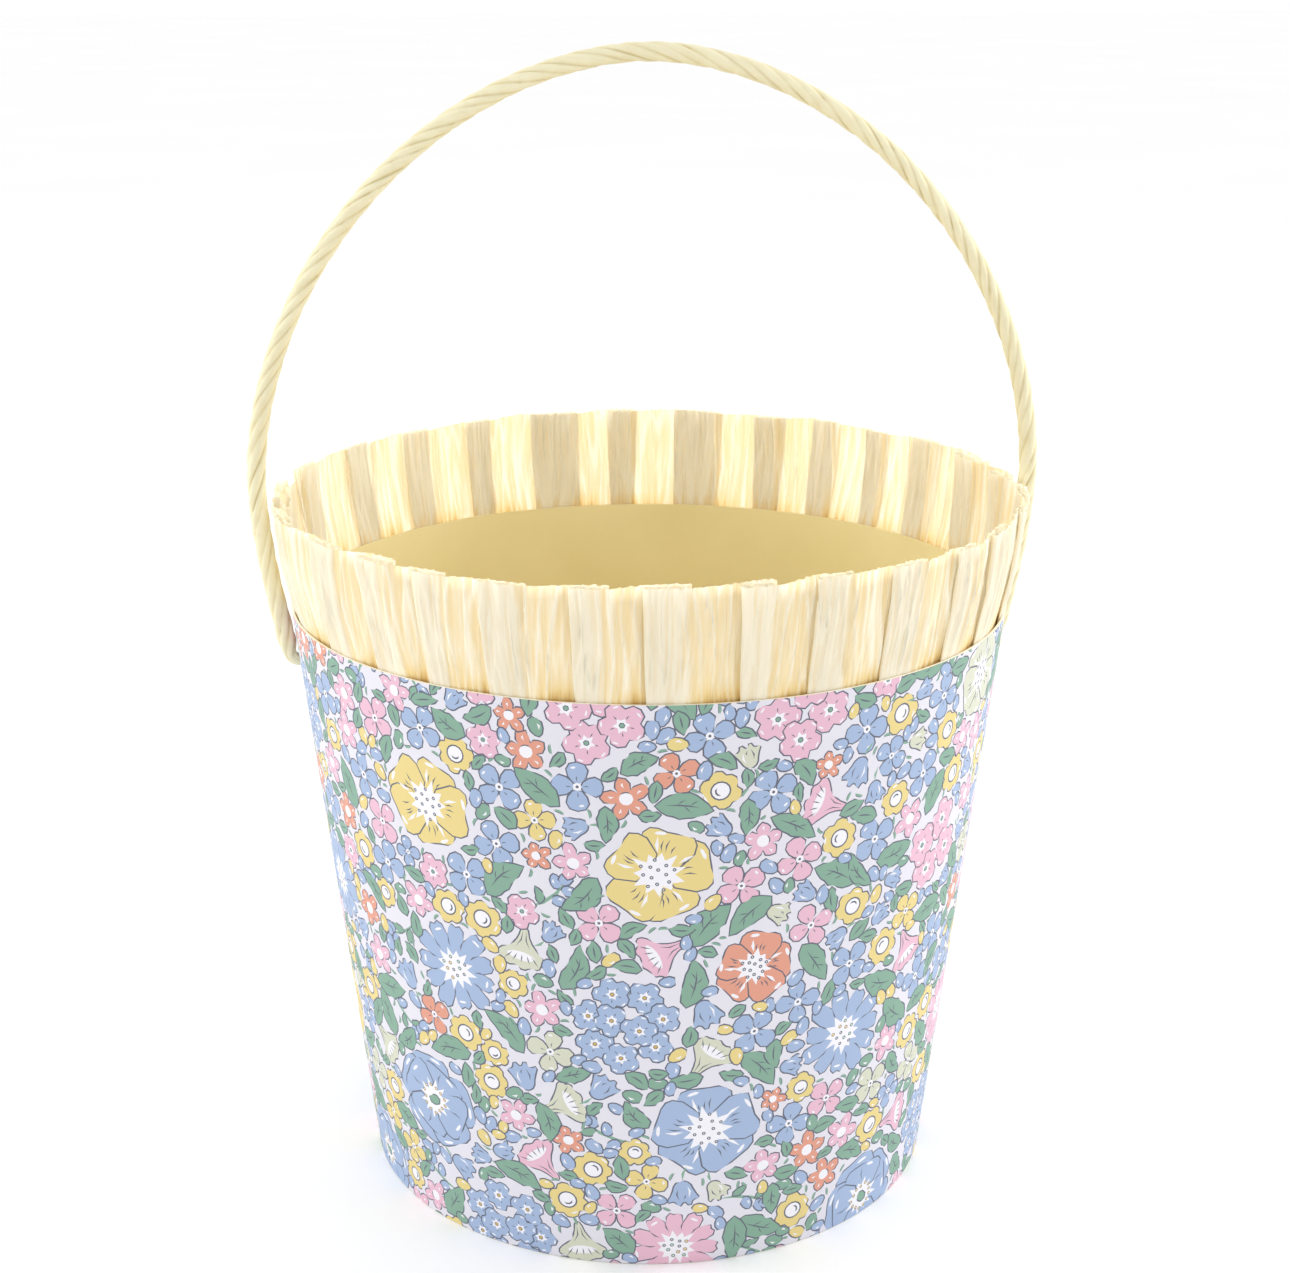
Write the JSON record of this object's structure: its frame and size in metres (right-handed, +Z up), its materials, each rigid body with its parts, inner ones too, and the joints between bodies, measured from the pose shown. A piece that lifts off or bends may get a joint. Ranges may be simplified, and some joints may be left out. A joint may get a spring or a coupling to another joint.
{
  "type": "easter basket",
  "caption": "Round tapered card basket with a floral printed sleeve, yellow liner, pleated crepe-paper frill round the mouth and a swinging paper-rope handle.",
  "frame": {"origin": "centre of the underside of the basket, on the surface that it stands on", "axes": "+Z up, +X along the handle's hinge line from the left hole to the right one, -Y towards the viewer in front"},
  "size_m": [0.193, 0.1816, 0.2763],
  "materials": {
    "printed_card": "matt card with a multicolour flower print",
    "yellow_card": "smooth matt khaki-yellow card",
    "grey_board": "raw grey board",
    "white_paper": "plain matt paper",
    "crepe_paper": "cream crepe paper, finely ridged, lets light through",
    "rope_paper": "twisted cream crepe paper",
    "wire": "plain steel wire"
  },
  "bodies": {
    "basket": {"printed_sleeve": "printed_card", "liner_sleeve": "yellow_card", "floor_card": "yellow_card", "base_board": "grey_board", "base_hoop": "grey_board", "base_cover": "white_paper", "frill": "crepe_paper", "hole_patch_left": "yellow_card", "hole_patch_right": "yellow_card"},
    "handle": {"handle_rope": "rope_paper", "handle_bound_end_left": "rope_paper", "handle_bound_end_right": "rope_paper", "handle_wire": "wire"}
  },
  "joints": [
    {"name": "handle_swing", "type": "hinge", "parent": "basket", "child": "handle", "pos_m": [0, 0, 0.13], "axis": [1, 0, 0], "range_deg": [-90, 90]}
  ]
}
